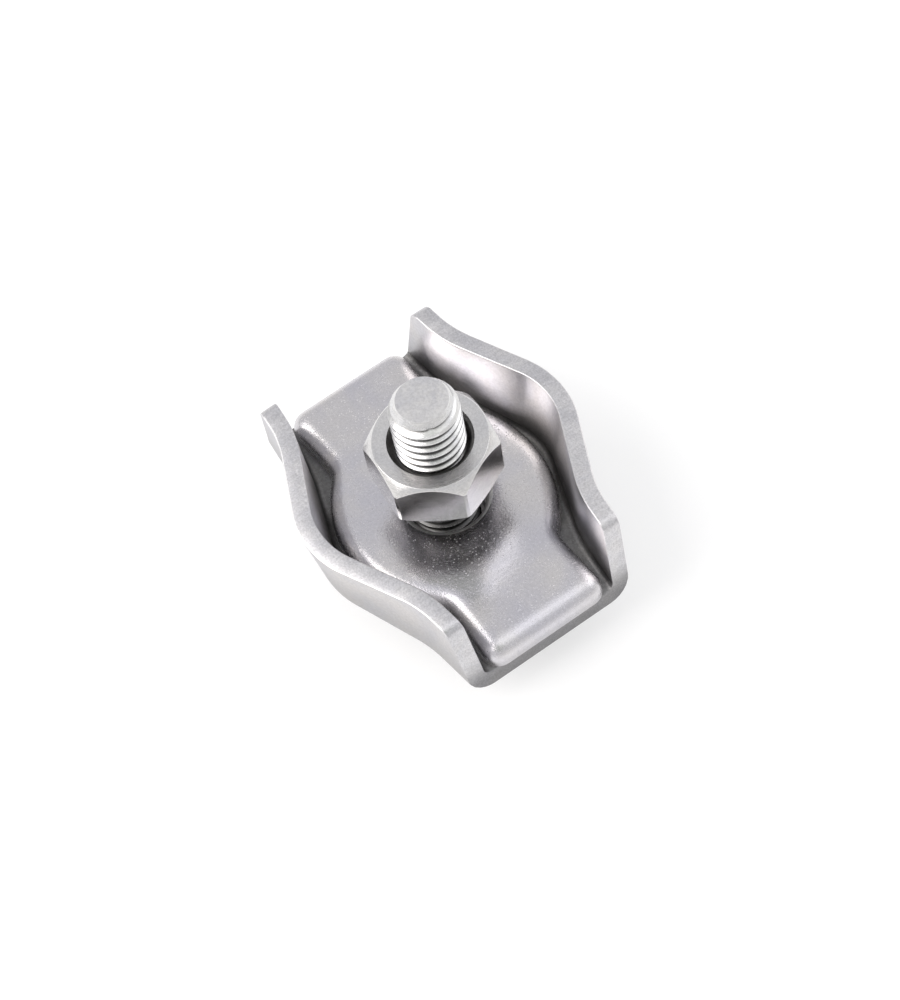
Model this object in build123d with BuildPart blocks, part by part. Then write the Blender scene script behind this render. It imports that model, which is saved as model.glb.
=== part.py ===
"""Wire rope clip with one bolt: pressed channel, pressure plate, hex bolt and nut.

Millimetres, +Z up. The origin is on the bolt's axis, at the flat end of the bolt head
that the clip stands on. +X runs along the channel, the way the two ropes lie.
"""

import os
from math import atan2, cos, radians, tan

from build123d import *

# Channel, pressed from one sheet
channel_sheet = 1.6
channel_height = 9.0
floor_length = 30.8
wall_top_length = 27.6
fold_outer_radius = 2.2
tip_corner_radius = 1.0
floor_hole_clearance = 0.3

# Inside of the walls at their top edge, as half widths: end, knee and crown
wall_knee_x = 9.8
end_half = 7.03
knee_half = 7.45
crown_half = 12.0
knee_radius = 6.5
crown_radius = 6.8

# How far the inside of the walls draws in from the top edge to the underside
end_lean = 0.45
crown_lean = 1.75

# Pressure plate, pressed from one sheet with its edge turned down
plate_sheet = 1.5
plate_height = 1.9
plate_edge_radius = 1.1
plate_corner_radius = 1.6
plate_waist_radius = 2.0
plate_waist_x = 8.5
plate_waist_depth = 0.3
plate_hole_clearance = 0.5
hole_rim_width = 0.9
hole_rim_depth = 0.5

# Room between the plate and the channel: at the floor's ends, the tabs and the bulge
plate_end_setback = 0.1
plate_tab_clearance = 0.45
plate_bulge_clearance = 0.7

# Hex bolt, threaded over its whole length
thread_radius = 3.0
bolt_length = 18.7
point_width = 0.8
point_depth = 1.3
head_across_flats = 10.0
head_height = 4.0
head_face_radius = 4.75
head_chamfer_angle = 30

# Hex nut on the same thread, standing clear above the plate
nut_across_flats = 10.0
nut_height = 5.0
nut_turn = -6.35
nut_gap = 4.35
nut_top_radius = 4.85
nut_top_angle = 52
nut_bottom_radius = 4.75
nut_bottom_angle = 30
nut_mouth_radius = 3.5
thread_clearance = 0.05

# The corners of both hexagons are slightly rounded off by the bar they are cut from
corner_share = 0.985

# Heights that follow from the sizes above
channel_bottom = head_height
floor_top = channel_bottom + channel_sheet
wall_top = channel_bottom + channel_height
plate_top = floor_top + plate_height
nut_bottom = plate_top + nut_gap
nut_top = nut_bottom + nut_height
bolt_end = channel_bottom + bolt_length

# How far sketches and cuts reach past the sheet that they trim
overrun = 4.0
outline_end_x = floor_length / 2 + overrun
cut_half = crown_half + channel_sheet + overrun


def wall_halves(depth, end_x):
    """Half widths at the end, knee and crown, at a depth below the walls' top edge."""
    share = depth / channel_height
    end_slope = (knee_half - end_half) / (wall_top_length / 2 - wall_knee_x)
    knee_here = knee_half - end_lean * share
    crown_here = crown_half - crown_lean * share
    end_here = knee_here - end_slope * (end_x - wall_knee_x)
    return end_here, knee_here, crown_here


def walls_inside(depth):
    """Closed plan outline between the walls, at a depth below their top edge."""
    end_here, knee_here, crown_here = wall_halves(depth, outline_end_x)
    with BuildSketch() as outline:
        with BuildLine():
            upper = FilletPolyline(
                (outline_end_x, end_here),
                (wall_knee_x, knee_here),
                (0, crown_here),
                (-wall_knee_x, knee_here),
                (-outline_end_x, end_here),
                radius=(knee_radius, crown_radius, knee_radius),
            )
            lower = mirror(upper, about=Plane.XZ)
            Line(upper @ 0, lower @ 0)
            Line(upper @ 1, lower @ 1)
        make_face()
    return outline.sketch


def corner_radius(across_flats):
    """Distance from the axis to the rounded corners of a hexagon."""
    return corner_share * across_flats / 2 / cos(radians(30))


def runs_along(edge):
    """True for an edge along the channel's side, and not across its end."""
    return abs(edge.center().X) < outline_end_x - overrun / 2


# Channel: a floor and two walls that bulge at mid-length and close in at the ends
with BuildPart() as base_channel:
    with BuildSketch(Plane.XY.offset(channel_bottom)):
        add(walls_inside(channel_height))
        offset(amount=channel_sheet, kind=Kind.INTERSECTION)
    with BuildSketch(Plane.XY.offset(wall_top)):
        add(walls_inside(0))
        offset(amount=channel_sheet, kind=Kind.INTERSECTION)
    loft(ruled=True)
    underside = faces().sort_by(Axis.Z)[0]
    fillet(underside.edges().filter_by(runs_along), fold_outer_radius)

    # The space between the walls
    with BuildSketch(Plane.XY.offset(floor_top)):
        add(walls_inside(channel_height - channel_sheet))
    with BuildSketch(Plane.XY.offset(wall_top)):
        add(walls_inside(0))
    loft(ruled=True, mode=Mode.SUBTRACT)

    # The ends are cut on a slant, so the floor is longer than the walls' top edges
    with BuildSketch(Plane.XZ.offset(-cut_half)) as end_cut:
        with BuildLine():
            Polyline(
                (floor_length / 2, channel_bottom),
                (wall_top_length / 2, wall_top),
                (outline_end_x + overrun, wall_top),
                (outline_end_x + overrun, channel_bottom),
                close=True,
            )
        make_face()
        mirror(about=Plane.YZ)
    extrude(amount=2 * cut_half, mode=Mode.SUBTRACT)
    tips = edges().filter_by(Axis.Y).group_by(Axis.Z)[-1]
    fillet(tips, tip_corner_radius)

    # Clearance hole for the bolt
    with BuildSketch(Plane.XY.offset(channel_bottom)):
        Circle(thread_radius + floor_hole_clearance)
    extrude(amount=channel_sheet, mode=Mode.SUBTRACT)
base_channel.part.label = "base_channel"


# Pressure plate: two tabs between the wall ends and a bulge that follows the walls
plate_end_x = floor_length / 2 - plate_end_setback
floor_end, floor_knee, floor_crown = wall_halves(wall_top - floor_top, plate_end_x)
crown_turn = atan2(floor_crown - floor_knee, wall_knee_x)
crown_inside = floor_crown - crown_radius * (1 / cos(crown_turn) - 1)
plate_end_half = floor_end - plate_tab_clearance
plate_waist_half = plate_end_half - plate_waist_depth
plate_bulge_half = crown_inside - plate_bulge_clearance

with BuildPart() as pressure_plate:
    with BuildSketch(Plane.XY.offset(floor_top)) as plate_outline:
        with BuildLine():
            for side in (1, -1):
                Line(
                    (plate_end_x, side * plate_end_half),
                    (plate_waist_x, side * plate_waist_half),
                )
                ThreePointArc(
                    (plate_waist_x, side * plate_waist_half),
                    (0, side * plate_bulge_half),
                    (-plate_waist_x, side * plate_waist_half),
                )
                Line(
                    (-plate_waist_x, side * plate_waist_half),
                    (-plate_end_x, side * plate_end_half),
                )
                Line(
                    (side * plate_end_x, -plate_end_half),
                    (side * plate_end_x, plate_end_half),
                )
        make_face()
        corners = vertices().group_by(SortBy.DISTANCE)[-1]
        waists = vertices().group_by(SortBy.DISTANCE)[0]
        fillet(corners, plate_corner_radius)
        fillet(waists, plate_waist_radius)
    extrude(amount=plate_height)
    fillet(faces().sort_by(Axis.Z)[-1].edges(), plate_edge_radius)

    # The turned-down edge lifts the middle of the sheet off the channel's floor
    with BuildSketch(Plane.XY.offset(floor_top)):
        add(plate_outline.sketch.moved(Location((0, 0, -floor_top))))
        offset(amount=-plate_sheet, kind=Kind.INTERSECTION, mode=Mode.REPLACE)
    extrude(amount=plate_height - plate_sheet, mode=Mode.SUBTRACT)

    # Clearance hole with a sloping rim
    with BuildSketch(Plane.XY.offset(floor_top)):
        Circle(thread_radius + plate_hole_clearance)
    extrude(amount=plate_height, mode=Mode.SUBTRACT)
    plate_face = faces().sort_by(Axis.Z)[-1]
    rim = plate_face.edges().filter_by(Edge.is_closed)
    chamfer(rim, hole_rim_width, hole_rim_depth, reference=plate_face)
pressure_plate.part.label = "pressure_plate"


# Hex bolt: the head under the channel, chamfered on its outer face, and the shank
with BuildPart() as hex_bolt:
    head_corner = corner_radius(head_across_flats)
    head_slope = tan(radians(head_chamfer_angle))
    with BuildSketch():
        RegularPolygon(head_across_flats / 2, 6, major_radius=False)
    extrude(amount=head_height)
    with BuildSketch(Plane.XZ):
        with BuildLine():
            Polyline(
                (0, 0),
                (head_face_radius, 0),
                (head_corner, (head_corner - head_face_radius) * head_slope),
                (head_corner, head_height),
                (0, head_height),
                close=True,
            )
        make_face()
    revolve(axis=Axis.Z, mode=Mode.INTERSECT)

    with BuildSketch(Plane.XY.offset(head_height)):
        Circle(thread_radius)
    extrude(amount=bolt_length)
    end_face = faces().sort_by(Axis.Z)[-1]
    chamfer(end_face.edges(), point_width, point_depth, reference=end_face)
hex_bolt.part.label = "hex_bolt"


# Hex nut: chamfered on both faces, with a bore that opens out at each mouth
with BuildPart() as hex_nut:
    nut_corner = corner_radius(nut_across_flats)
    top_drop = (nut_corner - nut_top_radius) * tan(radians(nut_top_angle))
    bottom_rise = (nut_corner - nut_bottom_radius) * tan(radians(nut_bottom_angle))
    bore_radius = thread_radius + thread_clearance
    with BuildSketch(Plane.XY.offset(nut_bottom)):
        RegularPolygon(nut_across_flats / 2, 6, major_radius=False, rotation=nut_turn)
    extrude(amount=nut_height)
    with BuildSketch(Plane.XZ):
        with BuildLine():
            Polyline(
                (0, nut_bottom),
                (nut_bottom_radius, nut_bottom),
                (nut_corner, nut_bottom + bottom_rise),
                (nut_corner, nut_top - top_drop),
                (nut_top_radius, nut_top),
                (0, nut_top),
                close=True,
            )
        make_face()
    revolve(axis=Axis.Z, mode=Mode.INTERSECT)

    with BuildSketch(Plane.XY.offset(nut_bottom)):
        Circle(bore_radius)
    extrude(amount=nut_height, mode=Mode.SUBTRACT)
    mouths = edges().filter_by(Edge.is_closed).filter_by(GeomType.CIRCLE)
    mouths = mouths.filter_by(lambda edge: edge.radius < nut_mouth_radius)
    chamfer(mouths, nut_mouth_radius - bore_radius)
hex_nut.part.label = "hex_nut"


os.makedirs("parts", exist_ok=True)
for piece in (base_channel, pressure_plate, hex_bolt, hex_nut):
    export_step(piece.part, f"parts/{piece.part.label}.step")
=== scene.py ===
import math

import bmesh
import bpy
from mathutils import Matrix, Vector


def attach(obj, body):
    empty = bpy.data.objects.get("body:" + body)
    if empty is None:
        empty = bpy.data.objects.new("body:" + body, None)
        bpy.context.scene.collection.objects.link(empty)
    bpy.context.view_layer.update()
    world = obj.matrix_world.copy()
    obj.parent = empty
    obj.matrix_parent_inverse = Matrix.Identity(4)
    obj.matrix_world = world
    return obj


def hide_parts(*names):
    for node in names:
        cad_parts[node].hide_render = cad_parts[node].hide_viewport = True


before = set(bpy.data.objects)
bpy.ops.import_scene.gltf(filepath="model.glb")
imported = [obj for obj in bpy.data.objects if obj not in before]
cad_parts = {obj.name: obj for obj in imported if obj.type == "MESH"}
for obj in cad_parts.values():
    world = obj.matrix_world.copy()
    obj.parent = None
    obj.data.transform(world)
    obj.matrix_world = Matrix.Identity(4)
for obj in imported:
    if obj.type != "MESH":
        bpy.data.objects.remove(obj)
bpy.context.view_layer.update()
mm = 0.001
weld = 0.002 * mm         # corners closer than this become one
speck = 0.01 * mm         # closer than this counts as the same place
near = 0.05 * mm          # the same, for corners that are looked up by their rough place
overrun = 2 * mm          # how far a cutter reaches past what it cuts
punchLength = 6 * mm
endFacing = 0.9           # a face that looks further up or down than this ends a piece


def letGo():
    if bpy.context.object and bpy.context.object.mode != "OBJECT":
        bpy.ops.object.mode_set(mode="OBJECT")
    bpy.ops.object.select_all(action="DESELECT")


def takeUp(piece):
    letGo()
    piece.select_set(True)
    bpy.context.view_layer.objects.active = piece


def startEditing(piece):
    takeUp(piece)
    bpy.ops.object.mode_set(mode="EDIT")
    bpy.ops.mesh.select_mode(type="VERT")


def newest(name):
    piece = bpy.context.object
    piece.name = name
    piece.data.name = name
    return piece


def pick(kind, wanted):
    bpy.ops.mesh.select_mode(type=kind)
    bpy.ops.mesh.select_all(action="DESELECT")
    mesh = bmesh.from_edit_mesh(bpy.context.object.data)
    parts = {"VERT": mesh.verts, "EDGE": mesh.edges, "FACE": mesh.faces}[kind]
    for part in parts:
        if wanted(part):
            part.select_set(True)
    mesh.select_flush_mode()
    bmesh.update_edit_mesh(bpy.context.object.data)


def addRod(name, sides, radius, length, place, turn=0):
    bpy.ops.mesh.primitive_cylinder_add(vertices=sides, radius=radius, depth=length, location=place,
                                        rotation=(0, 0, math.radians(turn)))
    return newest(name)


# The end face on one side is drawn out along Z, and its radius grows or shrinks to a share
def drawOut(side, rise, share):
    pick("FACE", lambda f: f.normal.z * side > endFacing)
    bpy.ops.mesh.extrude_region_move(TRANSFORM_OT_translate={"value": (0, 0, side * rise)})
    bpy.ops.transform.resize(value=(share, share, 1), center_override=(0, 0, 0))


def alignFacings():
    bpy.ops.mesh.select_all(action="SELECT")
    bpy.ops.mesh.normals_make_consistent(inside=False)


def bevelPicked(width, steps):
    bpy.ops.mesh.bevel(offset=width, segments=steps, profile=0.5, affect="EDGES", clamp_overlap=False)


def sliceAway(point, outward):
    bpy.ops.mesh.select_all(action="SELECT")
    bpy.ops.mesh.bisect(plane_co=point, plane_no=outward.normalized(), use_fill=True,
                        clear_outer=True, threshold=weld / 4)


def middle(part):
    points = [corner.co for corner in part.verts]
    return sum(points, Vector()) / len(points)


def applyModifier(piece, kind, **settings):
    takeUp(piece)
    modifier = piece.modifiers.new(kind.title(), kind)
    for key, value in settings.items():
        setattr(modifier, key, value)
    bpy.ops.object.modifier_apply(modifier=modifier.name)


def carve(piece, tool, operation):
    applyModifier(piece, "BOOLEAN", object=tool, operation=operation, solver="EXACT")
    bpy.data.objects.remove(tool)


# Edges that turn further than the piece's angle are rounded
def roundEdges(piece, values, **settings):
    applyModifier(piece, "BEVEL", width=values["edgeRounding"], segments=values["edgeSteps"],
                  limit_method="ANGLE", angle_limit=math.radians(values["roundedAngle"]), **settings)


# Corners welded, facings set, and the shading smooth but for edges sharper than the angle
def settle(piece, angle, flatten=True):
    takeUp(piece)
    bpy.ops.object.transform_apply(location=True, rotation=True, scale=True)
    startEditing(piece)
    bpy.ops.mesh.select_all(action="SELECT")
    bpy.ops.mesh.remove_doubles(threshold=weld)
    bpy.ops.mesh.normals_make_consistent(inside=False)
    letGo()
    takeUp(piece)
    bpy.ops.object.shade_smooth_by_angle(angle=math.radians(angle))
    if flatten:                      # large flat faces keep their shading flat up to the rounded edges
        applyModifier(piece, "WEIGHTED_NORMAL", weight=50, keep_sharp=True)


def fillSockets(tree, node, inputs):
    for key, value in inputs.items():
        if isinstance(value, bpy.types.NodeSocket):
            tree.links.new(value, node.inputs[key])
        else:
            node.inputs[key].default_value = value


def addNode(tree, kind, inputs=None, **settings):
    node = tree.nodes.new("ShaderNode" + kind)
    for key, value in settings.items():
        setattr(node, key, value)
    fillSockets(tree, node, inputs or {})
    return node


def maths(tree, operation, first, second=0.0, third=0.0):
    return addNode(tree, "Math", {0: first, 1: second, 2: third}, operation=operation).outputs[0]


def vectors(tree, operation, first, second=(0, 0, 0)):
    node = addNode(tree, "VectorMath", {0: first, 1: second}, operation=operation)
    return node.outputs["Value" if operation in ("DOT_PRODUCT", "LENGTH") else "Vector"]


def spread(tree, value, low, high, newLow=0.0, newHigh=1.0):
    return addNode(tree, "MapRange", {0: value, 1: low, 2: high, 3: newLow, 4: newHigh},
                   interpolation_type="SMOOTHSTEP").outputs[0]


def addNoise(tree, place, scale, detail, roughness=0.5, distortion=0.0):
    return addNode(tree, "TexNoise", {
        "Vector": place, "Scale": scale, "Detail": detail, "Roughness": roughness,
        "Distortion": distortion}).outputs[0]


def blendColours(tree, share, first, second, kind="MIX"):
    return addNode(tree, "Mix", {0: share, 6: first, 7: second}, data_type="RGBA",
                   blend_type=kind).outputs[2]


def shadeColour(tree, colour, shade):
    grey = addNode(tree, "CombineColor", {0: shade, 1: shade, 2: shade}).outputs[0]
    return blendColours(tree, 1.0, colour, grey, "MULTIPLY")


def startGroup(name, takes, gives):
    group = bpy.data.node_groups.new(name, "ShaderNodeTree")
    for label, kind in takes.items():
        group.interface.new_socket(label, in_out="INPUT", socket_type="NodeSocket" + kind)
    for label, kind in gives.items():
        group.interface.new_socket(label, in_out="OUTPUT", socket_type="NodeSocket" + kind)
    return group, group.nodes.new("NodeGroupInput").outputs, group.nodes.new("NodeGroupOutput").inputs


def useGroup(tree, group, inputs):
    node = tree.nodes.new("ShaderNodeGroup")
    node.node_tree = group
    fillSockets(tree, node, inputs)
    return node.outputs


# The sizes that the groups take are in millimetres, and a pattern's scale is features in a metre
def perMetre(tree, size):
    return maths(tree, "DIVIDE", 1000.0, size)


def metres(tree, size):
    return maths(tree, "DIVIDE", size, 1000.0)


pattern = {
    "fineNoise": (2.5, 0.62),          # each noise's detail, roughness and distortion
    "softNoise": (3.0, 0.55, 0.5),
    "pitSpacing": 1.15,                # in sizes of the grain
    "pitReach": (0.28, 0.12),          # in spacings, where a pit begins and where it is full
    "pitChance": 0.5,
    "scratchSets": ((0.55, 0.0, 24.0), (-0.9, 0.37, 32.0)),   # each set's turn, shift and slenderness
    "scratchTilt": (0.2, 0.15),
    "scratchRange": (0.64, 0.72),
    "flockScale": 0.7,
    "flockEdge": 0.72,                 # where a flock begins in its noise, if nothing is scratched
    "flockGain": 0.4,                  # how much lower it begins if all is scratched
    "flockFade": 0.08,
    "wearRange": (0.01, 0.14),         # how far the surface turns within the reach
    "wearGaps": 1400.0,
    "wearGapRange": (0.3, 0.6),
    "hollowGaps": 700.0,
    "hollowUneven": (0.6, 0.7),          # the dulling's share that follows the gaps, and its least
    "hollowRange": (0.12, 0.5),
}


# Skin of tumbled or pickled steel: fine grain, soft patches, and small pits scattered over it
def makeTumbledSkin():
    group, given, result = startGroup(
        "tumbledSkin", {"Place": "Vector", "Grain": "Float", "Patch": "Float"},
        {"Grain": "Float", "Patches": "Float", "Pits": "Float"})
    fine = addNoise(group, given["Place"], perMetre(group, given["Grain"]), *pattern["fineNoise"])
    soft = addNoise(group, given["Place"], perMetre(group, given["Patch"]), *pattern["softNoise"])
    spacing = maths(group, "MULTIPLY", given["Grain"], pattern["pitSpacing"])
    cells = addNode(group, "TexVoronoi", {
        "Vector": given["Place"], "Scale": perMetre(group, spacing)}).outputs
    dot = spread(group, cells["Distance"], *pattern["pitReach"])
    chance = addNode(group, "SeparateColor", {0: cells["Color"]}).outputs[0]
    pits = maths(group, "MULTIPLY", dot, maths(group, "GREATER_THAN", chance, pattern["pitChance"]))
    group.links.new(fine, result["Grain"])
    group.links.new(soft, result["Patches"])
    group.links.new(pits, result["Pits"])
    return group


# Short fine scratches that lie two ways, in loose flocks
def makeRubMarks():
    group, given, result = startGroup(
        "rubMarks", {"Place": "Vector", "Length": "Float", "Share": "Float"}, {"Marks": "Float"})
    long = perMetre(group, given["Length"])
    gain = maths(group, "MULTIPLY", given["Share"], pattern["flockGain"])
    edge = maths(group, "SUBTRACT", pattern["flockEdge"], gain)
    marks = 0.0
    for turn, shift, thin in pattern["scratchSets"]:
        turned = addNode(group, "Mapping", {
            "Vector": given["Place"], "Location": (shift, shift, 0),
            "Rotation": (*pattern["scratchTilt"], turn)}).outputs[0]
        across = maths(group, "MULTIPLY", long, thin)
        squeeze = addNode(group, "CombineXYZ", {0: long, 1: across, 2: across}).outputs[0]
        streaks = addNoise(group, vectors(group, "MULTIPLY", turned, squeeze), 1.0, 1.0)
        line = spread(group, streaks, *pattern["scratchRange"])
        flock = addNoise(group, turned, maths(group, "MULTIPLY", long, pattern["flockScale"]), 2.0)
        flock = spread(group, flock, edge, maths(group, "ADD", edge, pattern["flockFade"]))
        marks = maths(group, "MAXIMUM", marks, maths(group, "MULTIPLY", line, flock))
    group.links.new(marks, result["Marks"])
    return group


# Edges rubbed bright, from how far the surface turns within a small reach
def makeEdgeWear():
    group, given, result = startGroup(
        "edgeWear", {"Place": "Vector", "Reach": "Float"}, {"Wear": "Float"})
    rounded = addNode(group, "Bevel", {"Radius": metres(group, given["Reach"])}, samples=6).outputs[0]
    facing = addNode(group, "NewGeometry").outputs["Normal"]
    turn = maths(group, "SUBTRACT", 1.0, vectors(group, "DOT_PRODUCT", rounded, facing))
    gaps = addNoise(group, given["Place"], pattern["wearGaps"], 3.0)
    wear = maths(group, "MULTIPLY", spread(group, turn, *pattern["wearRange"]),
                 spread(group, gaps, *pattern["wearGapRange"]))
    group.links.new(wear, result["Wear"])
    return group


# Painted shade where the surface closes in on itself: the colour darkens there, and the steel is rougher
# and duller
def makeShelteredDulling():
    group, given, result = startGroup(
        "shelteredDulling", {"Place": "Vector", "Reach": "Float"}, {"Dulling": "Float"})
    openness = addNode(group, "AmbientOcclusion", {"Distance": metres(group, given["Reach"])},
                       samples=8, only_local=True).outputs["AO"]
    gaps = addNoise(group, given["Place"], pattern["hollowGaps"], 3.0)
    uneven = maths(group, "MULTIPLY_ADD", gaps, *pattern["hollowUneven"])
    closed = maths(group, "MULTIPLY", maths(group, "SUBTRACT", 1.0, openness), uneven)
    group.links.new(spread(group, closed, *pattern["hollowRange"]), result["Dulling"])
    return group


# Fine rings round the bolt's axis, as a lathe leaves them
def makeTurnedRings():
    group, given, result = startGroup(
        "turnedRings", {"Place": "Vector", "Pitch": "Float"}, {"Rings": "Float"})
    radius = vectors(group, "LENGTH", vectors(group, "MULTIPLY", given["Place"], (1, 1, 0)))
    count = maths(group, "MULTIPLY", radius, perMetre(group, given["Pitch"]))
    rings = addNode(group, "TexNoise", {"W": count, "Scale": 1.0, "Detail": 2.0, "Roughness": 0.6},
                    noise_dimensions="1D").outputs[0]
    group.links.new(rings, result["Rings"])
    return group


# Fine lines that a shear, a die or a drawing die leaves, long one way and close the other two
def makeToolLines():
    group, given, result = startGroup(
        "toolLines", {"Place": "Vector", "Pitch": "Float", "Along": "Vector"}, {"Lines": "Float"})
    squeeze = addNode(group, "VectorMath", {0: given["Along"], "Scale": perMetre(group, given["Pitch"])},
                      operation="SCALE").outputs[0]
    lines = addNoise(group, vectors(group, "MULTIPLY", given["Place"], squeeze), 1.0, 3.0, 0.65)
    group.links.new(lines, result["Lines"])
    return group


# How far a point lies from a helical groove's middle, in shares of its pitch
def makeGrooveDistance():
    group, given, result = startGroup(
        "grooveDistance", {"Place": "Vector", "Pitch": "Float", "Shift": "Float"}, {"Distance": "Float"})
    spot = addNode(group, "SeparateXYZ", {0: given["Place"]}).outputs
    turn = maths(group, "DIVIDE", maths(group, "ARCTAN2", spot[1], spot[0]), 2 * math.pi)
    rise = maths(group, "MULTIPLY", spot[2], perMetre(group, given["Pitch"]))
    phase = maths(group, "SUBTRACT", maths(group, "SUBTRACT", rise, turn), given["Shift"])
    away = maths(group, "ABSOLUTE", maths(group, "SUBTRACT", maths(group, "FRACT", phase), 0.5))
    group.links.new(maths(group, "SUBTRACT", 0.5, away), result["Distance"])
    return group


effects = {
    "skin": makeTumbledSkin(),
    "marks": makeRubMarks(),
    "wear": makeEdgeWear(),
    "dulling": makeShelteredDulling(),
    "rings": makeTurnedRings(),
    "lines": makeToolLines(),
    "groove": makeGrooveDistance(),
}
print("effects", len(effects))

steel = {
    # the pits are painted this light, as painted glints
    "pitGlintTone": (0.9, 0.9, 0.9, 1),
    "markTone": (0.86, 0.86, 0.85, 1),
    "wornTone": (0.84, 0.84, 0.83, 1),
    "noiseRange": (0.3, 0.7),          # the part of a noise that is stretched over the whole effect
    "lineRange": (0.35, 0.65),
    "ringRough": 0.12,                 # how each effect changes the roughness
    "dullRough": 0.18,
    "wornRough": -0.08,
    "grooveFade": 0.3 * mm,
    "shoulderRange": (0.995, 0.93),    # cosines of the turn over which a soft shoulder grows rough
}


# What a finish doesn't say for itself; sizes are in millimetres
plainFinish = {
    "roughSpread": 0.08, "grazingTone": 1.0,
    "grain": 0.2, "grainDepth": 0.01, "grainShow": 0.06, "patch": 3.0, "patchDepth": 0.02,
    "pitShow": 0.2, "pitDepth": 0.004, "pitRough": 0.0,
    "markLength": 0.9, "markShare": 0.3, "markShow": 0.3, "markDepth": 0.001, "markRough": 0.0,
    "wearReach": 0.2, "wearShow": 0.8, "hollowReach": 1.0, "grooveShadeStripes": (),
}


# One steel surface: a finish names its tone, its roughness and how much of each effect it shows
def makeSteel(name, ownFinish):
    finish = {**plainFinish, **ownFinish}
    material = bpy.data.materials.new(name)
    material.use_nodes = True
    tree = material.node_tree
    shader = tree.nodes["Principled BSDF"]
    shader.inputs["Metallic"].default_value = 1
    grazing = finish["grazingTone"]
    shader.inputs["Specular Tint"].default_value = (grazing, grazing, grazing, 1)
    place = addNode(tree, "TexCoord").outputs["Object"]
    level = addNode(tree, "SeparateXYZ", {0: place}).outputs[2]

    skin = useGroup(tree, effects["skin"], {
        "Place": place, "Grain": finish["grain"], "Patch": finish["patch"]})
    marks = useGroup(tree, effects["marks"], {
        "Place": place, "Length": finish["markLength"], "Share": finish["markShare"]})["Marks"]
    wear = useGroup(tree, effects["wear"], {"Place": place, "Reach": finish["wearReach"]})["Wear"]
    dulling = useGroup(tree, effects["dulling"], {
        "Place": place, "Reach": finish["hollowReach"]})["Dulling"]

    # Tone of the bare skin, with its scratches, and its pits painted lighter as painted glints
    patches = spread(tree, skin["Patches"], *steel["noiseRange"])
    colour = blendColours(tree, patches, (*finish["coolTone"], 1), (*finish["warmTone"], 1))
    grainShow = finish["grainShow"]
    grain = spread(tree, skin["Grain"], *steel["noiseRange"], 1 - grainShow, 1 + grainShow)
    colour = shadeColour(tree, colour, grain)
    pitShow = maths(tree, "MULTIPLY", skin["Pits"], finish["pitShow"])
    colour = blendColours(tree, pitShow, colour, steel["pitGlintTone"])
    markShow = maths(tree, "MULTIPLY", marks, finish["markShow"])
    colour = blendColours(tree, markShow, colour, steel["markTone"])

    # Roughness and relief
    patchiness = maths(tree, "SUBTRACT", patches, 0.5)
    roughness = maths(tree, "MULTIPLY_ADD", patchiness, finish["roughSpread"], finish["roughness"])
    roughness = maths(tree, "MULTIPLY_ADD", skin["Pits"], finish["pitRough"], roughness)
    roughness = maths(tree, "MULTIPLY_ADD", marks, finish["markRough"], roughness)
    height = maths(tree, "MULTIPLY", skin["Grain"], finish["grainDepth"])
    height = maths(tree, "MULTIPLY_ADD", skin["Pits"], -finish["pitDepth"], height)
    height = maths(tree, "MULTIPLY_ADD", marks, -finish["markDepth"], height)
    height = maths(tree, "MULTIPLY_ADD", skin["Patches"], finish["patchDepth"], height)
    if "ringPitch" in finish:
        rings = useGroup(tree, effects["rings"], {"Place": place, "Pitch": finish["ringPitch"]})["Rings"]
        height = maths(tree, "MULTIPLY_ADD", rings, finish["ringDepth"], height)
        ringLevel = maths(tree, "SUBTRACT", rings, 0.5)
        roughness = maths(tree, "MULTIPLY_ADD", ringLevel, steel["ringRough"], roughness)
    if "linePitch" in finish:
        lines = useGroup(tree, effects["lines"], {
            "Place": place, "Pitch": finish["linePitch"], "Along": finish["lineAlong"]})["Lines"]
        height = maths(tree, "MULTIPLY_ADD", lines, finish["lineDepth"], height)
        lineShow = finish["lineShow"]
        lines = spread(tree, lines, *steel["lineRange"], 1 - lineShow, 1 + lineShow)
        colour = shadeColour(tree, colour, lines)

    # Painted shade: dark stripes along the thread's grooves, and shade painted low on the piece
    for least, shift, inside, outside in finish["grooveShadeStripes"]:
        groove = useGroup(tree, effects["groove"], {
            "Place": place, "Pitch": finish["groovePitch"], "Shift": shift})["Distance"]
        top = finish["grooveTop"]
        above = spread(tree, level, top - steel["grooveFade"], top)
        groove = spread(tree, maths(tree, "ADD", groove, above), inside, outside, least, 1.0)
        colour = shadeColour(tree, colour, groove)
    if "lowShade" in finish:
        least, bottom, top = finish["lowShade"]
        colour = shadeColour(tree, colour, spread(tree, level, bottom, top, least, 1.0))

    # Painted shade and duller steel in hollows, and bright worn edges
    dullShow = maths(tree, "MULTIPLY", dulling, finish["dullShow"])
    colour = blendColours(tree, dullShow, colour, (*finish["dullTone"], 1))
    roughness = maths(tree, "MULTIPLY_ADD", dulling, steel["dullRough"], roughness)
    wear = maths(tree, "MULTIPLY", wear, maths(tree, "SUBTRACT", 1.0, dulling))
    wear = maths(tree, "MULTIPLY", wear, finish["wearShow"])
    colour = blendColours(tree, wear, colour, steel["wornTone"])
    roughness = maths(tree, "MULTIPLY_ADD", wear, steel["wornRough"], roughness)

    bump = addNode(tree, "Bump", {"Strength": 1.0, "Distance": mm, "Height": height})
    if "softEdges" in finish:
        softened = addNode(tree, "Bevel", {"Radius": finish["softEdges"]}, samples=10).outputs[0]
        tree.links.new(softened, bump.inputs["Normal"])
        facing = addNode(tree, "NewGeometry").outputs["Normal"]
        match = vectors(tree, "DOT_PRODUCT", softened, facing)
        shoulder = spread(tree, match, *steel["shoulderRange"])
        roughness = maths(tree, "MULTIPLY_ADD", shoulder, finish["edgeRough"], roughness)
    tree.links.new(colour, shader.inputs["Base Color"])
    tree.links.new(roughness, shader.inputs["Roughness"])
    tree.links.new(bump.outputs[0], shader.inputs["Normal"])
    return material


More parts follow.
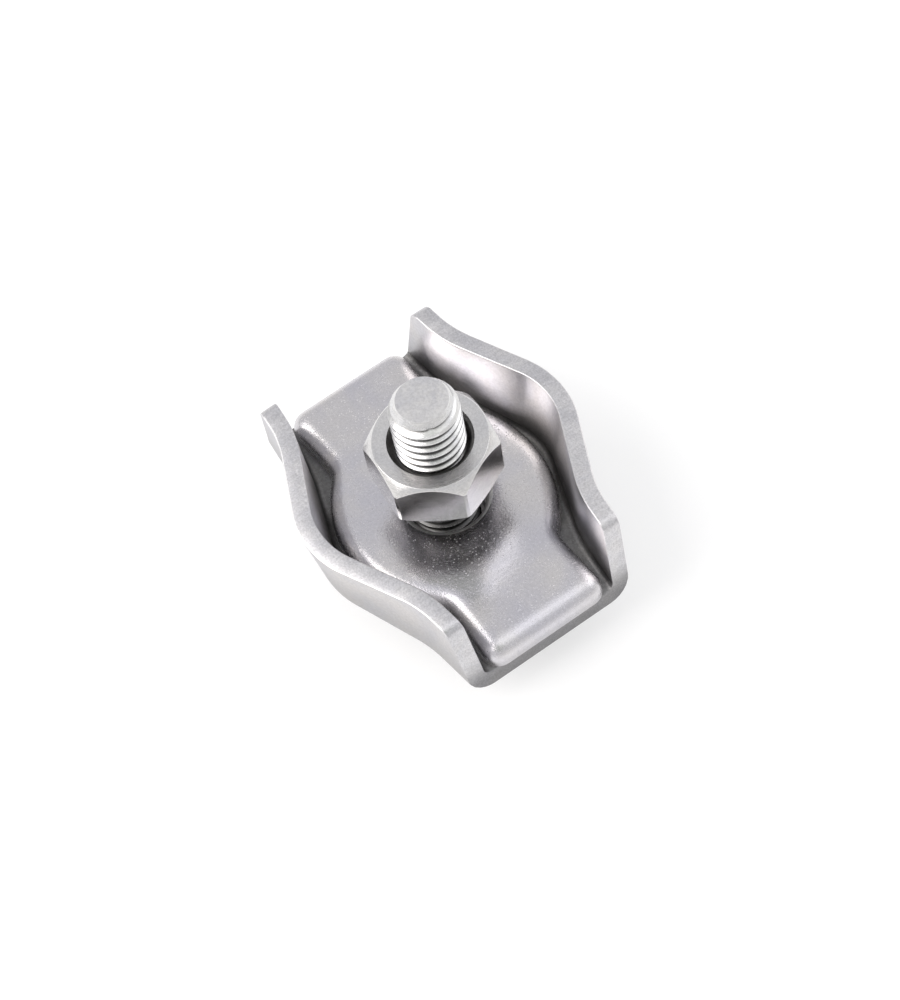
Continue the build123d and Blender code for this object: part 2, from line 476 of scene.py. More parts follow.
# Faces that another cut or finish left get that material, chosen by place and facing
def coat(piece, finishes):
    piece.data.materials.clear()
    startEditing(piece)
    for slot, (material, wanted) in enumerate(finishes):
        piece.data.materials.append(material)
        if slot:
            pick("FACE", wanted)
            piece.active_material_index = slot
            bpy.ops.object.material_slot_assign()
    letGo()


channel = {
    "sheet": 1.6 * mm,
    "underside": 4.0 * mm,
    "floorTop": 5.6 * mm,
    "wallTop": 13.0 * mm,
    "floorHalfLength": 15.4 * mm,
    "topHalfLength": 13.8 * mm,
    "roughHalfLength": 18.5 * mm,      # before the ends are cut
    "kneeX": 9.8 * mm,
    "topHalves": (6.54 * mm, 7.45 * mm, 12.0 * mm),    # inside, at the rough end, knee and crown
    "lean": (0.050, 0.050, 0.194),     # how far each draws in for each step down
    "kneeRadius": 6.5 * mm,
    "crownRadius": 6.8 * mm,
    "bendProfile": 0.53,               # rounds the knees and crowns as an arc
    "bendSteps": (14, 8),              # at a crown and at a knee
    "foldRadius": 0.6 * mm,
    "foldSteps": 6,
    "tipRadius": 1.0 * mm,
    "tipSteps": 8,
    "holeRadius": 3.3 * mm,
    "holeSides": 64,
    "edgeRounding": 0.11 * mm,
    "edgeSteps": 3,
    "roundedAngle": 42,
    "sharpAngle": 35,                  # edges that turn further are shaded as sharp
    "rollOver": 0.5 * mm,              # the outer edge of the wall tops, drawn down by the shear
    "rollSteps": 6,
    "cutReach": 0.15 * mm,             # how far from a cut plane its faces may lie
    "levelFacing": 0.96,               # upward facing of what counts as the flat of a wall's top
    "sheetFinish": {
        "coolTone": (0.62, 0.615, 0.645), "warmTone": (0.69, 0.67, 0.665),
        "roughness": 0.33, "roughSpread": 0.1, "grazingTone": 0.85,
        "grain": 0.24, "grainDepth": 0.009, "grainShow": 0.07, "patch": 5.0, "patchDepth": 0.03,
        "pitShow": 0.08,
        "markLength": 1.3, "markShow": 0.25, "markDepth": 0.0012,
        # lowShade: painted shade, darker towards the bottom of the walls
        "lowShade": (0.72, 5.5 * mm, 12.5 * mm),
        "wearReach": 0.22, "wearShow": 0.6,
        "hollowReach": 4.5, "dullShow": 0.85, "dullTone": (0.12, 0.118, 0.115),
    },
    # The floor inside the channel is painted dark: painted shade in the gaps between the plate and the
    # walls
    "floorShadeFinish": {
        "coolTone": (0.2, 0.198, 0.2), "warmTone": (0.27, 0.265, 0.26),
        "roughness": 0.42, "roughSpread": 0.1,
        "grain": 0.24, "grainShow": 0.15, "patchDepth": 0.03,
        "pitShow": 0.15, "pitDepth": 0.012,
        "markLength": 1.3, "markShare": 0.4, "markShow": 0.25, "markDepth": 0.0012,
        "hollowReach": 6.0, "dullShow": 0.8, "dullTone": (0.09, 0.088, 0.085),
    },
    "cutFinish": {
        "coolTone": (0.58, 0.575, 0.595), "warmTone": (0.64, 0.63, 0.635),
        "roughness": 0.4,
        "grain": 0.15, "grainShow": 0.12, "patch": 2.5,
        "pitShow": 0.15, "pitDepth": 0.014,
        "markLength": 0.8, "markShare": 0.2, "markShow": 0.2,
        "linePitch": 0.22, "lineAlong": (1.0, 0.12, 0.3), "lineDepth": 0.008, "lineShow": 0.05,
        # lowShade: painted shade on the end faces, darker towards the table
        "lowShade": (0.37, 4.6 * mm, 8.5 * mm),
        "wearShow": 0.4,
        "hollowReach": 2.0, "dullShow": 0.6, "dullTone": (0.25, 0.245, 0.24),
    },
    # The rolled outer edge of the wall tops is painted lighter: a painted sheen along the rounding
    "rolledSheenFinish": {
        "coolTone": (0.8, 0.795, 0.8), "warmTone": (0.88, 0.87, 0.865),
        "roughness": 0.46,
        "grainShow": 0.08, "patch": 2.5,
        "pitShow": 0.1, "pitDepth": 0.01,
        "markLength": 0.8, "markShow": 0.2,
        "wearReach": 0.1, "wearShow": 0.4,
        "dullShow": 0.3, "dullTone": (0.25, 0.245, 0.24),
    },
}


def addChannelOutline(height):
    depth = channel["wallTop"] - height
    endHalf, kneeHalf, crownHalf = [
        half - depth * lean for half, lean in zip(channel["topHalves"], channel["lean"])]
    long, kneeX = channel["roughHalfLength"], channel["kneeX"]
    corners = [(0, crownHalf), (kneeX, kneeHalf), (long, endHalf)]
    count = 10                         # two crowns, four knees and four ends
    bpy.ops.mesh.primitive_circle_add(
        vertices=count, radius=kneeX, fill_type="NGON", location=(0, 0, height))
    outline = newest("channelOutline")
    bpy.ops.object.transform_apply(location=True)
    startEditing(outline)
    for corner in range(count):
        turn = math.radians(90 - 360 / count * corner)
        here = Vector((math.cos(turn) * kneeX, math.sin(turn) * kneeX, height))
        step = min(corner, count - corner)           # counted from the crown, either way round
        x, y = corners[step] if step < len(corners) else corners[count // 2 - step]
        x, y = math.copysign(x, here.x) if x else 0, math.copysign(y, here.y)
        pick("VERT", lambda v: (v.co - here).length < near)
        bpy.ops.transform.translate(value=(x - here.x, y - here.y, 0))
    slope = math.atan2(crownHalf - kneeHalf, kneeX)
    flare = math.atan2(kneeHalf - endHalf, long - kneeX)
    crownSteps, kneeSteps = channel["bendSteps"]
    pick("VERT", lambda v: abs(v.co.x) < near)
    bpy.ops.mesh.bevel(offset=channel["crownRadius"] * math.tan(slope), segments=crownSteps,
                       affect="VERTICES", profile=channel["bendProfile"])
    pick("VERT", lambda v: abs(abs(v.co.x) - kneeX) < near)
    bpy.ops.mesh.bevel(offset=channel["kneeRadius"] * math.tan((slope + flare) / 2),
                       segments=kneeSteps, affect="VERTICES", profile=channel["bendProfile"])
    letGo()
    return outline


def makeChannel():
    fold = channel["foldRadius"]
    top = addChannelOutline(channel["wallTop"])
    floor = addChannelOutline(channel["floorTop"] + fold)
    takeUp(floor)
    top.select_set(True)
    bpy.ops.object.join()
    piece = newest("channelPressing")
    startEditing(piece)
    bpy.ops.mesh.select_all(action="SELECT")
    bpy.ops.mesh.bridge_edge_loops()
    pick("FACE", lambda f: len(f.verts) > 4 and middle(f).z > channel["wallTop"] - near)
    bpy.ops.mesh.delete(type="ONLY_FACE")

    # The fold between the walls and the floor
    pick("FACE", lambda f: len(f.verts) > 4)
    for step in range(channel["foldSteps"]):
        before, after = [math.radians(90 * share / channel["foldSteps"]) for share in (step, step + 1)]
        bpy.ops.mesh.inset(thickness=fold * (math.cos(before) - math.cos(after)), use_even_offset=True)
        bpy.ops.transform.translate(value=(0, 0, -fold * (math.sin(after) - math.sin(before))))
    alignFacings()
    mesh = bmesh.from_edit_mesh(piece.data)
    if max(mesh.faces, key=lambda f: f.calc_area()).normal.z < 0:
        bpy.ops.mesh.flip_normals()
    letGo()
    applyModifier(piece, "SOLIDIFY", thickness=channel["sheet"], offset=-1, use_even_offset=True)

    # The ends are cut on a slant, so that the floor is longer than the walls
    startEditing(piece)
    for side in (1, -1):
        cut = Vector((side * channel["floorHalfLength"], 0, channel["underside"]))
        tip = Vector((side * channel["topHalfLength"], 0, channel["wallTop"]))
        along = tip - cut
        sliceAway(cut, Vector((side * along.z, 0, abs(along.x))))
    turn = math.radians(90) - math.atan2(
        channel["floorHalfLength"] - channel["topHalfLength"], channel["wallTop"] - channel["underside"])
    pick("EDGE", lambda e: middle(e).z > channel["wallTop"] - near
         and abs(abs(middle(e).x) - channel["topHalfLength"]) < near
         and abs(e.verts[0].co.y - e.verts[1].co.y) > channel["sheet"] / 2)
    bevelPicked(channel["tipRadius"] * math.tan(turn / 2), channel["tipSteps"])

    # The shear draws the outer edge of the walls' tops down
    pick("EDGE", lambda e: middle(e).z > channel["wallTop"] - near
         and any(f.normal.z < 0.5 and f.normal.y * middle(f).y > 0 for f in e.link_faces))
    bevelPicked(channel["rollOver"], channel["rollSteps"])
    letGo()

    punch = addRod("holePunch", channel["holeSides"], channel["holeRadius"], punchLength,
                   (0, 0, channel["underside"]))
    carve(piece, punch, "DIFFERENCE")
    roundEdges(piece, channel, use_clamp_overlap=True, miter_outer="MITER_ARC")
    settle(piece, channel["sharpAngle"], flatten=False)

    def cutFace(face):
        spot, facing = middle(face), face.normal
        top = facing.z > channel["levelFacing"] and spot.z > channel["wallTop"] - channel["cutReach"]
        rise = (spot.z - channel["underside"]) / (channel["wallTop"] - channel["underside"])
        endX = channel["floorHalfLength"] + rise * (channel["topHalfLength"] - channel["floorHalfLength"])
        end = abs(facing.x) > 0.6 and abs(spot.x) > endX - channel["cutReach"]
        tip = (abs(facing.y) < 0.35 and spot.z > channel["wallTop"] - channel["tipRadius"]
               and abs(spot.x) > channel["topHalfLength"] - channel["tipRadius"])
        return top or end or tip

    def rolledEdge(face):
        spot, facing = middle(face), face.normal
        outward = facing.y * spot.y > 0
        rolled = 0.2 < facing.z < channel["levelFacing"]
        return outward and rolled and spot.z > channel["wallTop"] - channel["rollOver"]

    # The floor's top inside the channel, which takes the painted shade
    def insideFloor(face):
        spot = middle(face)
        inside = channel["floorTop"] - speck < spot.z < channel["floorTop"] + channel["foldRadius"]
        return inside and face.normal.z > 0.05 and not cutFace(face)

    coat(piece, ((makeSteel("channelSheet", channel["sheetFinish"]), None),
                 (makeSteel("channelRolledEdge", channel["rolledSheenFinish"]), rolledEdge),
                 (makeSteel("channelCutEdge", channel["cutFinish"]), cutFace),
                 (makeSteel("channelFloor", channel["floorShadeFinish"]), insideFloor)))
    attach(piece, "base")
    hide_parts("base_channel")
    return piece


plate = {
    "bottom": 5.6 * mm,
    "top": 7.5 * mm,
    "sheet": 1.5 * mm,
    "recessInset": 1.5 * mm,
    "endX": 15.39 * mm,
    "endHalf": 6.05 * mm,
    "waistX": 8.5 * mm,
    "waistHalf": 5.75 * mm,
    "bulgeHalf": 9.44 * mm,
    "cornerRadius": 1.6 * mm,
    "waistRadius": 2.0 * mm,
    "edgeRadius": 1.45 * mm,
    "holeRadius": 3.5 * mm,
    "holeMiddle": (-0.24 * mm, 0.36 * mm),    # the bolt stands off it, within its play
    "rimRounding": 0.8 * mm,
    "arcSteps": (20, 10, 9),           # for half the bulge, a waist and a corner
    "edgeSteps": 8,
    "rimSteps": 6,
    "holeSides": 96,
    "sharpAngle": 35,
    "finish": {
        "softEdges": 1.5 * mm,         # the shoulders roll off more softly than the modelled rounding
        "coolTone": (0.62, 0.61, 0.65), "warmTone": (0.68, 0.66, 0.655),
        "roughness": 0.22, "roughSpread": 0.06,
        "grain": 0.22, "grainDepth": 0.012, "grainShow": 0.05, "patch": 6.0, "patchDepth": 0.05,
        "pitShow": 0.1, "pitDepth": 0.006, "pitRough": 0.42,
        "markShare": 0.55, "markShow": 0.35, "markDepth": 0.0015, "markRough": 0.35,
        "wearReach": 1.1, "wearShow": 0.15, "edgeRough": 0.28,
        "dullShow": 0.25, "dullTone": (0.2, 0.2, 0.19),
    },
    # The rounded rim of the hole: its turned rings are its own, and its lighter tone is a painted sheen
    "rimSheenFinish": {
        "coolTone": (0.84, 0.83, 0.83), "warmTone": (0.9, 0.89, 0.88),
        "roughness": 0.5, "roughSpread": 0.06,
        "grain": 0.22, "grainDepth": 0.008, "patch": 2.0, "patchDepth": 0.01,
        "pitShow": 0.1,
        "markLength": 0.6,
        "ringPitch": 0.2, "ringDepth": 0.004,
        "hollowReach": 0.6, "dullShow": 0.2, "dullTone": (0.3, 0.3, 0.29),
    },
}


def spinVertex(centre, angle, steps):
    bpy.ops.mesh.spin(steps=steps, angle=-angle, center=centre, axis=(0, 0, 1), dupli=False)


def makePlate():
    height = plate["bottom"]
    rise = plate["bulgeHalf"] - plate["waistHalf"]
    bulgeRadius = (plate["waistX"] ** 2 + rise ** 2) / (2 * rise)
    bulgeCentre = Vector((0, plate["bulgeHalf"] - bulgeRadius, height))
    waistRadius, cornerRadius = plate["waistRadius"], plate["cornerRadius"]
    tab = Vector((plate["endX"] - plate["waistX"], plate["endHalf"] - plate["waistHalf"], 0)).normalized()
    outward = Vector((-tab.y, tab.x, 0))

    # The waist's centre lies one radius off the tab's side and off the bulge
    start = Vector((plate["waistX"], plate["waistHalf"], height)) + outward * waistRadius - bulgeCentre
    reach = bulgeRadius + waistRadius
    shift = -start.dot(tab) + math.sqrt(start.dot(tab) ** 2 - start.length_squared + reach ** 2)
    waistCentre = bulgeCentre + start + tab * shift
    toWaist = waistCentre - bulgeCentre
    bulgeTurn = math.atan2(toWaist.x, toWaist.y)
    waistTurn = math.atan2(-outward.y, -outward.x) - math.atan2(-toWaist.y, -toWaist.x)
    cornerCentre = Vector((plate["endX"] - cornerRadius, 0, height))
    cornerCentre.y = plate["endHalf"] - cornerRadius * tab.y / tab.x - cornerRadius / tab.x
    cornerTurn = math.atan2(outward.y, outward.x)

    bpy.ops.mesh.primitive_plane_add(size=1 * mm, location=(0, plate["bulgeHalf"], height))
    piece = newest("pressurePlate")
    bpy.ops.object.transform_apply(location=True)
    startEditing(piece)
    bpy.ops.mesh.select_all(action="SELECT")
    bpy.ops.mesh.merge(type="CENTER")
    bulgeSteps, waistSteps, cornerSteps = plate["arcSteps"]
    spinVertex(bulgeCentre, -bulgeTurn, bulgeSteps)
    spinVertex(waistCentre, waistTurn, waistSteps)
    here = waistCentre - outward * waistRadius
    there = cornerCentre + outward * cornerRadius
    bpy.ops.mesh.extrude_vertices_move(TRANSFORM_OT_translate={"value": there - here})
    spinVertex(cornerCentre, -cornerTurn, cornerSteps)
    here = cornerCentre + Vector((cornerRadius, 0, 0))
    bpy.ops.mesh.extrude_vertices_move(TRANSFORM_OT_translate={"value": (0, -here.y, 0)})
    letGo()
    applyModifier(piece, "MIRROR", use_axis=(True, True, False), merge_threshold=speck)
    startEditing(piece)
    bpy.ops.mesh.select_all(action="SELECT")
    bpy.ops.mesh.remove_doubles(threshold=speck / 2)
    bpy.ops.mesh.edge_face_add()
    bpy.ops.mesh.extrude_region_move(
        TRANSFORM_OT_translate={"value": (0, 0, plate["top"] - plate["bottom"])})
    alignFacings()
    pick("EDGE", lambda e: middle(e).z > plate["top"] - speck)
    bevelPicked(plate["edgeRadius"], plate["edgeSteps"])

    # The turned-down edge leaves a shallow recess underneath
    pick("FACE", lambda f: f.normal.z < -endFacing)
    bpy.ops.mesh.inset(thickness=plate["recessInset"], depth=0)
    bpy.ops.transform.translate(value=(0, 0, plate["top"] - plate["bottom"] - plate["sheet"]))
    letGo()
    holeMiddle = Vector(plate["holeMiddle"])
    punch = addRod("holePunch", plate["holeSides"], plate["holeRadius"], punchLength,
                   (*holeMiddle, plate["bottom"]))
    carve(piece, punch, "DIFFERENCE")
    startEditing(piece)
    pick("EDGE", lambda e: middle(e).z > plate["top"] - speck
         and abs((middle(e).xy - holeMiddle).length - plate["holeRadius"]) < 2 * speck)
    bevelPicked(plate["rimRounding"], plate["rimSteps"])
    letGo()
    settle(piece, plate["sharpAngle"])

    def holeRim(face):
        spot = middle(face)
        beside = (spot.xy - holeMiddle).length < plate["holeRadius"] + plate["rimRounding"]
        return beside and spot.z > plate["top"] - plate["rimRounding"] and 0.1 < face.normal.z < 0.99

    coat(piece, ((makeSteel("plateSheet", plate["finish"]), None),
                 (makeSteel("plateHoleRim", plate["rimSheenFinish"]), holeRim)))
    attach(piece, "plate")
    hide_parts("pressure_plate")
    return piece


hexBlankSides = 144


# A turned blank, chamfered at the ends that have a slope, cut by a hexagonal bar
def addHexBlank(name, acrossFlats, bottom, top, bottomRadius, topRadius, cornerRadius,
                bottomSlope, topSlope, turn):
    lowest = bottom + (cornerRadius - bottomRadius) * math.tan(math.radians(bottomSlope))
    highest = top - (cornerRadius - topRadius) * math.tan(math.radians(topSlope))
    piece = addRod(name, hexBlankSides, cornerRadius, highest - lowest, (0, 0, (highest + lowest) / 2))
    bpy.ops.object.transform_apply(location=True)
    startEditing(piece)
    for side, rise, radius in ((1, top - highest, topRadius), (-1, lowest - bottom, bottomRadius)):
        if rise > speck:
            drawOut(side, rise, radius / cornerRadius)
    letGo()
    hexBar = addRod("hexBar", 6, acrossFlats / 2 / math.cos(math.radians(30)), top - bottom + 2 * overrun,
                    (0, 0, (top + bottom) / 2), turn)
    carve(piece, hexBar, "INTERSECT")
    return piece


bolt = {
    "threadRadius": 3.0 * mm,
    "rootRadius": 2.4 * mm,
    "pitch": 1.0 * mm,
    "crestWidth": 0.24 * mm,
    "crestBulge": 0.03 * mm,
    "crestShares": (0.3, 0.4, 0.3),    # of the crest's width: its rise, its flat and its fall
    "rootWidth": 0.2 * mm,
    "rootHeight": 19.98 * mm,          # height of a root on the +X side
    "turnsBelow": 18,                  # from there down to the thread's start
    "turns": 22,
    "turnSteps": 72,
    "raggedTurns": 1.6,                # cut off again at the start, where the sweep is open
    "endSpare": 0.4 * mm,
    "shankInHead": 0.5 * mm,
    "shankSides": 96,
    "headHeight": 4.0 * mm,
    "end": 22.7 * mm,
    "pointWidth": 0.8 * mm,
    "pointDepth": 1.3 * mm,
    "headAcrossFlats": 10.0 * mm,
    "headFaceRadius": 4.75 * mm,
    "headCornerRadius": 5.686 * mm,
    "headSlope": 30,
    "edgeRounding": 0.07 * mm,
    "edgeSteps": 2,
    "roundedAngle": 25,
    "sharpAngle": 32,
    "nickRadius": 0.34 * mm,
    "nickPlace": (2.43 * mm, -0.98 * mm, 22.12 * mm),
    "nickScale": (1.0, 1.0, 0.6),
    "nickTurn": (0.3, 0.5, 0.2),
    "threadFinish": {
        "coolTone": (0.66, 0.66, 0.67), "warmTone": (0.72, 0.715, 0.705),
        "roughness": 0.28,
        "grain": 0.16, "grainDepth": 0.004, "patch": 1.5, "patchDepth": 0.01,
        "pitDepth": 0.002,
        "markLength": 0.6, "markShare": 0.4,
        "linePitch": 0.1, "lineAlong": (0.12, 0.12, 1.0), "lineDepth": 0.004, "lineShow": 0.08,
        # lowShade: painted shade on the thread below the nut
        "lowShade": (0.15, 10.5 * mm, 13.0 * mm), "groovePitch": 1.0, "grooveTop": 21.3 * mm,
        # Each stripe of painted shade: what is left of the tone, its height in pitches, and where it ends
        # and fades
        "grooveShadeStripes": ((0.03, 20.42, 0.07, 0.1), (0.12, 19.85, 0.1, 0.18)),
        "wearReach": 0.08, "wearShow": 0.6,
        "hollowReach": 0.5, "dullShow": 0.85, "dullTone": (0.12, 0.115, 0.11),
    },
    "endFinish": {
        "coolTone": (0.66, 0.655, 0.67), "warmTone": (0.72, 0.71, 0.7),
        "roughness": 0.34, "roughSpread": 0.1,
        "grainDepth": 0.008, "grainShow": 0.09, "patch": 1.8,
        "pitShow": 0.3,
        "markShare": 0.5, "markShow": 0.35, "markDepth": 0.002,
        "wearReach": 0.12,
        "dullShow": 0.4, "dullTone": (0.25, 0.24, 0.23),
    },
    "headFinish": {
        "coolTone": (0.64, 0.635, 0.65), "warmTone": (0.7, 0.69, 0.68),
        "roughness": 0.26,
        "grainDepth": 0.004,
        "pitShow": 0.3, "pitDepth": 0.003,
        "markLength": 1.0, "markShare": 0.35, "markDepth": 0.0015,
        "ringPitch": 0.16, "ringDepth": 0.004,
        "wearReach": 0.18, "wearShow": 0.6,
        "hollowReach": 1.5, "dullShow": 0.5, "dullTone": (0.2, 0.195, 0.19),
    },
}


def addThread():
    crest, root, pitch = bolt["threadRadius"], bolt["rootRadius"], bolt["pitch"]
    flank = (pitch - bolt["crestWidth"] - bolt["rootWidth"]) / 2
    start = bolt["rootHeight"] - bolt["turnsBelow"] * pitch - bolt["rootWidth"] / 2
    bpy.ops.mesh.primitive_plane_add(size=0.1 * mm, location=(root, 0, start))
    piece = newest("thread")
    bpy.ops.object.transform_apply(location=True)
    startEditing(piece)
    bpy.ops.mesh.select_all(action="SELECT")
    bpy.ops.mesh.merge(type="CENTER")
    bulge = bolt["crestBulge"]
    rising, level, falling = [bolt["crestWidth"] * share for share in bolt["crestShares"]]
    for step in ((0, 0, bolt["rootWidth"]), (crest - root - bulge, 0, flank), (bulge, 0, rising),
                 (0, 0, level), (-bulge, 0, falling), (root - crest + bulge, 0, flank)):
        bpy.ops.mesh.extrude_vertices_move(TRANSFORM_OT_translate={"value": step})
    letGo()
    applyModifier(piece, "SCREW", axis="Z", angle=math.radians(360), screw_offset=pitch,
                  iterations=bolt["turns"], steps=bolt["turnSteps"], render_steps=bolt["turnSteps"],
                  use_merge_vertices=True, merge_threshold=weld)
    startEditing(piece)
    bpy.ops.mesh.select_all(action="SELECT")
    bpy.ops.mesh.remove_doubles(threshold=1.5 * weld)
    lowest = start + bolt["raggedTurns"] * pitch
    for height, side in ((lowest, -1), (bolt["end"] + bolt["endSpare"], 1)):
        sliceAway(Vector((0, 0, height)), Vector((0, 0, side)))
    alignFacings()
    letGo()
    return piece


def makeBolt():
    head = addHexBlank("boltHead", bolt["headAcrossFlats"], 0, bolt["headHeight"],
                       bolt["headFaceRadius"], bolt["headCornerRadius"], bolt["headCornerRadius"],
                       bolt["headSlope"], 0, 30)
    roundEdges(head, bolt)
    piece = addThread()
    bottom, top = bolt["headHeight"] - bolt["shankInHead"], bolt["end"]
    radius = bolt["threadRadius"] + near
    pointRadius = bolt["threadRadius"] - bolt["pointWidth"]
    pointDepth = (radius - pointRadius) * bolt["pointDepth"] / bolt["pointWidth"]
    blank = addRod("shankBlank", bolt["shankSides"], radius, top - pointDepth - bottom,
                   (0, 0, (top - pointDepth + bottom) / 2))
    bpy.ops.object.transform_apply(location=True)
    startEditing(blank)
    drawOut(1, pointDepth, pointRadius / radius)
    letGo()
    carve(piece, blank, "INTERSECT")

    # A small nick in the first turn of the thread
    bpy.ops.mesh.primitive_ico_sphere_add(subdivisions=2, radius=bolt["nickRadius"],
                                          location=bolt["nickPlace"], scale=bolt["nickScale"],
                                          rotation=bolt["nickTurn"])
    carve(piece, newest("nickPunch"), "DIFFERENCE")
    piece.name = piece.data.name = "clampBolt"
    carve(piece, head, "UNION")
    settle(piece, bolt["sharpAngle"])
    coat(piece, ((makeSteel("threadRolled", bolt["threadFinish"]), None),
                 (makeSteel("boltEndCut", bolt["endFinish"]),
                  lambda f: f.normal.z > endFacing and middle(f).z > bolt["end"] - 2 * near),
                 (makeSteel("boltHeadForged", bolt["headFinish"]),
                  lambda f: middle(f).z < bolt["headHeight"] + speck)))
    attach(piece, "base")
    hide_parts("hex_bolt")
    return piece


nut = {
    "acrossFlats": 10.0 * mm,
    "bottom": 11.85 * mm,
    "top": 16.85 * mm,
    "turn": -6.35,
    "bottomRadius": 4.75 * mm,
    "topRadius": 4.85 * mm,
    "cornerRadius": 5.686 * mm,
    "bottomSlope": 30,
    "topSlope": 52,
    "boreRadius": 3.05 * mm,
    "mouthRadius": 3.65 * mm,
    "boreSides": 96,
    "edgeRounding": 0.11 * mm,
    "edgeSteps": 2,
    "roundedAngle": 20,
    "sharpAngle": 30,
    # The bore and its mouths are painted dark: painted shade in the hole
    "boreShadeFinish": {
        "coolTone": (0.3, 0.295, 0.29), "warmTone": (0.38, 0.37, 0.36),
        "roughness": 0.34, "roughSpread": 0.1,
        "grain": 0.16, "grainDepth": 0.006, "grainShow": 0.15, "patch": 1.2, "patchDepth": 0.01,
        "pitDepth": 0.006,
        "markLength": 0.5, "markShare": 0.4,
        "wearReach": 0.08, "wearShow": 0.5,
        "hollowReach": 0.9, "dullShow": 0.8, "dullTone": (0.1, 0.098, 0.095),
    },
    "faceFinish": {
        "coolTone": (0.66, 0.655, 0.66), "warmTone": (0.72, 0.71, 0.70),
        "roughness": 0.24, "roughSpread": 0.06,
        "grainDepth": 0.003, "patch": 2.5, "patchDepth": 0.012,
        "pitDepth": 0.002,
        "markShow": 0.25,
        "ringPitch": 0.13, "ringDepth": 0.005,
        "wearReach": 0.16, "wearShow": 1.0,
        "hollowReach": 0.9, "dullShow": 0.6, "dullTone": (0.18, 0.175, 0.17),
    },
    "flatFinish": {
        "coolTone": (0.78, 0.775, 0.78), "warmTone": (0.85, 0.84, 0.825),
        "roughness": 0.16, "roughSpread": 0.06,
        "grain": 0.24, "grainDepth": 0.003, "grainShow": 0.04,
        "pitDepth": 0.001,
        "markLength": 1.2, "markShare": 0.35, "markShow": 0.2, "markDepth": 0.0008,
        "linePitch": 0.14, "lineAlong": (0.1, 0.1, 1.0), "lineDepth": 0.003, "lineShow": 0.05,
        "wearReach": 0.12,
        "hollowReach": 0.9, "dullShow": 0.7, "dullTone": (0.15, 0.145, 0.14),
    },
}


def makeNut():
    piece = addHexBlank("hexNut", nut["acrossFlats"], nut["bottom"], nut["top"],
                        nut["bottomRadius"], nut["topRadius"], nut["cornerRadius"],
                        nut["bottomSlope"], nut["topSlope"], 30 + nut["turn"])
    bore, mouth = nut["boreRadius"], nut["mouthRadius"]
    bottom, top = nut["bottom"], nut["top"]
    flare = mouth - bore                # the mouths open out at 45 degrees, and on past the faces
    cutter = addRod("boreCutter", nut["boreSides"], bore, top - bottom - 2 * flare,
                    (0, 0, (top + bottom) / 2))
    bpy.ops.object.transform_apply(location=True)
    startEditing(cutter)
    for side in (1, -1):
        drawOut(side, 2 * flare, (bore + 2 * flare) / bore)
    letGo()
    carve(piece, cutter, "DIFFERENCE")
    roundEdges(piece, nut)
    settle(piece, nut["sharpAngle"])

    def inBore(face):
        corners = [corner.co.xy.length for corner in face.verts]
        return middle(face).xy.length < mouth - 2 * speck and max(corners) < mouth + near

    coat(piece, ((makeSteel("nutFlats", nut["flatFinish"]), None),
                 (makeSteel("nutTurnedFace", nut["faceFinish"]), lambda f: f.normal.z > 0.5),
                 (makeSteel("nutBore", nut["boreShadeFinish"]), inBore)))
    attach(piece, "nut")
    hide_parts("hex_nut")
    return piece


channelPiece = makeChannel()
print("channel", len(channelPiece.data.polygons))
platePiece = makePlate()
print("plate", len(platePiece.data.polygons))
boltPiece = makeBolt()
print("bolt", len(boltPiece.data.polygons))
nutPiece = makeNut()
print("nut", len(nutPiece.data.polygons))

studio = {
    "cameraPlace": (0.12286, -0.05673, 0.22497),
    "cameraTurn": (31.2525, 6.2964, 54.7418),
    "lens": 109.31,
    "floorSize": 3.0,
    "floorTone": 0.5,                  # the floor's own paint, which takes the shadow
    "floorLift": 0.52,                 # the rest of its white
    "roomTone": (0.74, 0.74, 0.76),
    "horizonTone": (0.88, 0.865, 0.85),
    "horizonHeight": 0.4,
    "shadeTone": (0.73, 0.76, 0.71),
    "roomShade": 0.7,                 # what is left of the room's light behind the camera
    "shadeTowards": (0.478, -0.223, 0.85),
    "shadeFrom": 0.9,                  # cosines off that way at which the shade begins and is full
    "shadeFull": 0.98,
    # Each softbox: place, size, watts and colour
    "softBoxes": (
        ((-0.11, -0.35, 0.375), 0.42, 2.0, (1.0, 0.965, 0.935)),
        ((0.08, 0.08, 0.5), 0.34, 0.2, (1.0, 1.0, 1.0)),
        ((0.07, 0.37, 0.33), 0.3, 0.3, (1.0, 1.0, 1.0)),
    ),
}


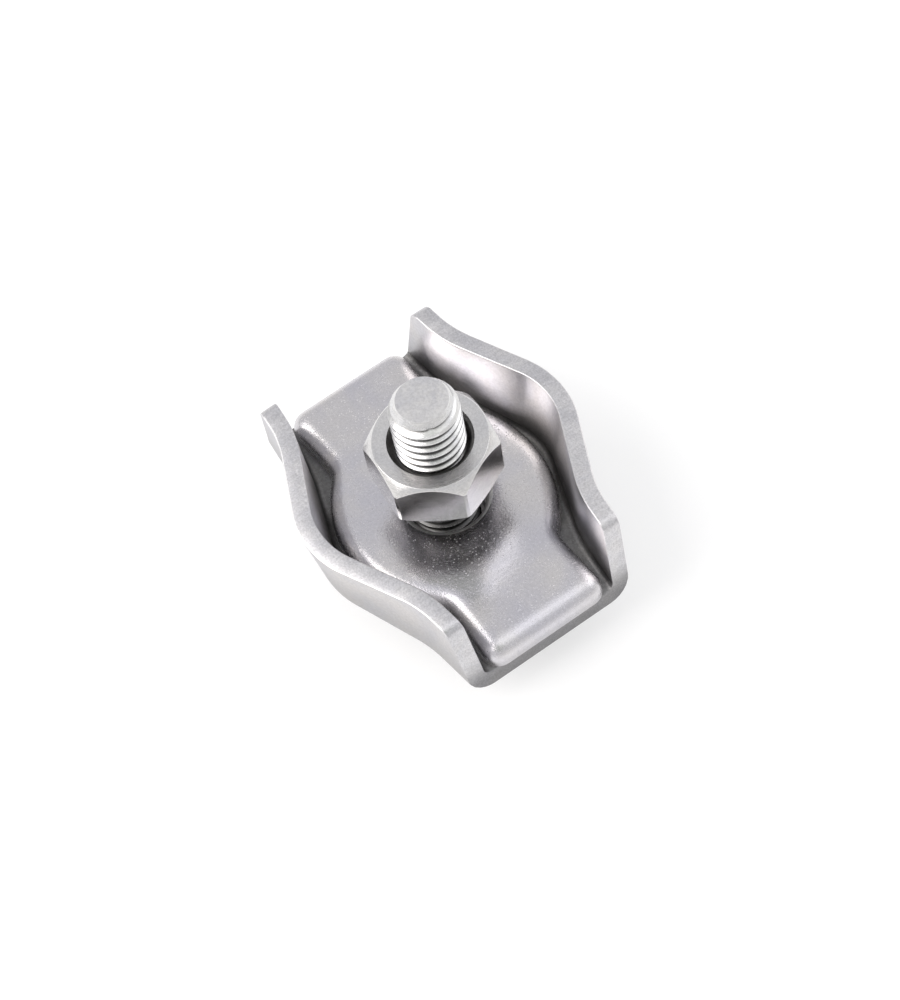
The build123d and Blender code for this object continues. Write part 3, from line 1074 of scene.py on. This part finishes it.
# A pale floor: half its white is paint that takes the shadow, the rest shows only to camera and gloss
def makeFloor():
    letGo()
    bpy.ops.mesh.primitive_plane_add(size=studio["floorSize"], location=(0, 0, 0))
    floor = newest("studioFloor")
    paint = bpy.data.materials.new("floorPaint")
    paint.use_nodes = True
    tree = paint.node_tree
    shader = tree.nodes["Principled BSDF"]
    tone = studio["floorTone"]
    shader.inputs["Base Color"].default_value = (tone, tone, tone, 1)
    shader.inputs["Roughness"].default_value = 1.0
    shader.inputs["Specular IOR Level"].default_value = 0.0
    shader.inputs["Emission Color"].default_value = (1, 1, 1, 1)
    path = addNode(tree, "LightPath").outputs
    seen = maths(tree, "MAXIMUM", path["Is Camera Ray"],
                 maths(tree, "MAXIMUM", path["Is Glossy Ray"], path["Is Transmission Ray"]))
    lift = maths(tree, "MULTIPLY", seen, studio["floorLift"])
    tree.links.new(lift, shader.inputs["Emission Strength"])
    floor.data.materials.append(paint)


# The room round the table: pale at the horizon, greyer above, and darker behind the camera
def makeRoom():
    world = bpy.data.worlds.new("studioRoom")
    bpy.context.scene.world = world
    world.use_nodes = True
    tree = world.node_tree
    back = tree.nodes["Background"]
    way = addNode(tree, "TexCoord").outputs["Generated"]
    height = addNode(tree, "SeparateXYZ", {0: way}).outputs[2]
    low = spread(tree, height, studio["horizonHeight"], 0.0)
    colour = blendColours(tree, low, (*studio["roomTone"], 1), (*studio["horizonTone"], 1))
    shadeWay = Vector(studio["shadeTowards"]).normalized()
    match = vectors(tree, "DOT_PRODUCT", way, shadeWay)
    shaded = spread(tree, match, studio["shadeFrom"], studio["shadeFull"])
    colour = blendColours(tree, shaded, colour, (*studio["shadeTone"], 1))
    level = spread(tree, shaded, 0.0, 1.0, 1.0, studio["roomShade"])
    tree.links.new(colour, back.inputs["Color"])
    tree.links.new(level, back.inputs["Strength"])


def makeSoftBoxes():
    for place, size, watts, colour in studio["softBoxes"]:
        light = bpy.data.lights.new("softBox", "AREA")
        light.size = size
        light.energy = watts
        light.color = colour
        lamp = bpy.data.objects.new("softBox", light)
        bpy.context.scene.collection.objects.link(lamp)
        lamp.location = place
        lamp.rotation_euler = (-Vector(place)).to_track_quat("-Z", "Y").to_euler()


def makeCamera():
    camera = bpy.data.objects.new("studioCamera", bpy.data.cameras.new("studioCamera"))
    bpy.context.scene.collection.objects.link(camera)
    camera.location = studio["cameraPlace"]
    camera.rotation_euler = [math.radians(turn) for turn in studio["cameraTurn"]]
    camera.data.lens = studio["lens"]
    camera.data.clip_start = 0.01
    bpy.context.scene.camera = camera


makeFloor()
makeRoom()
makeSoftBoxes()
makeCamera()
bpy.context.scene.view_settings.view_transform = "Standard"
print("studio", len(studio["softBoxes"]), "softboxes")
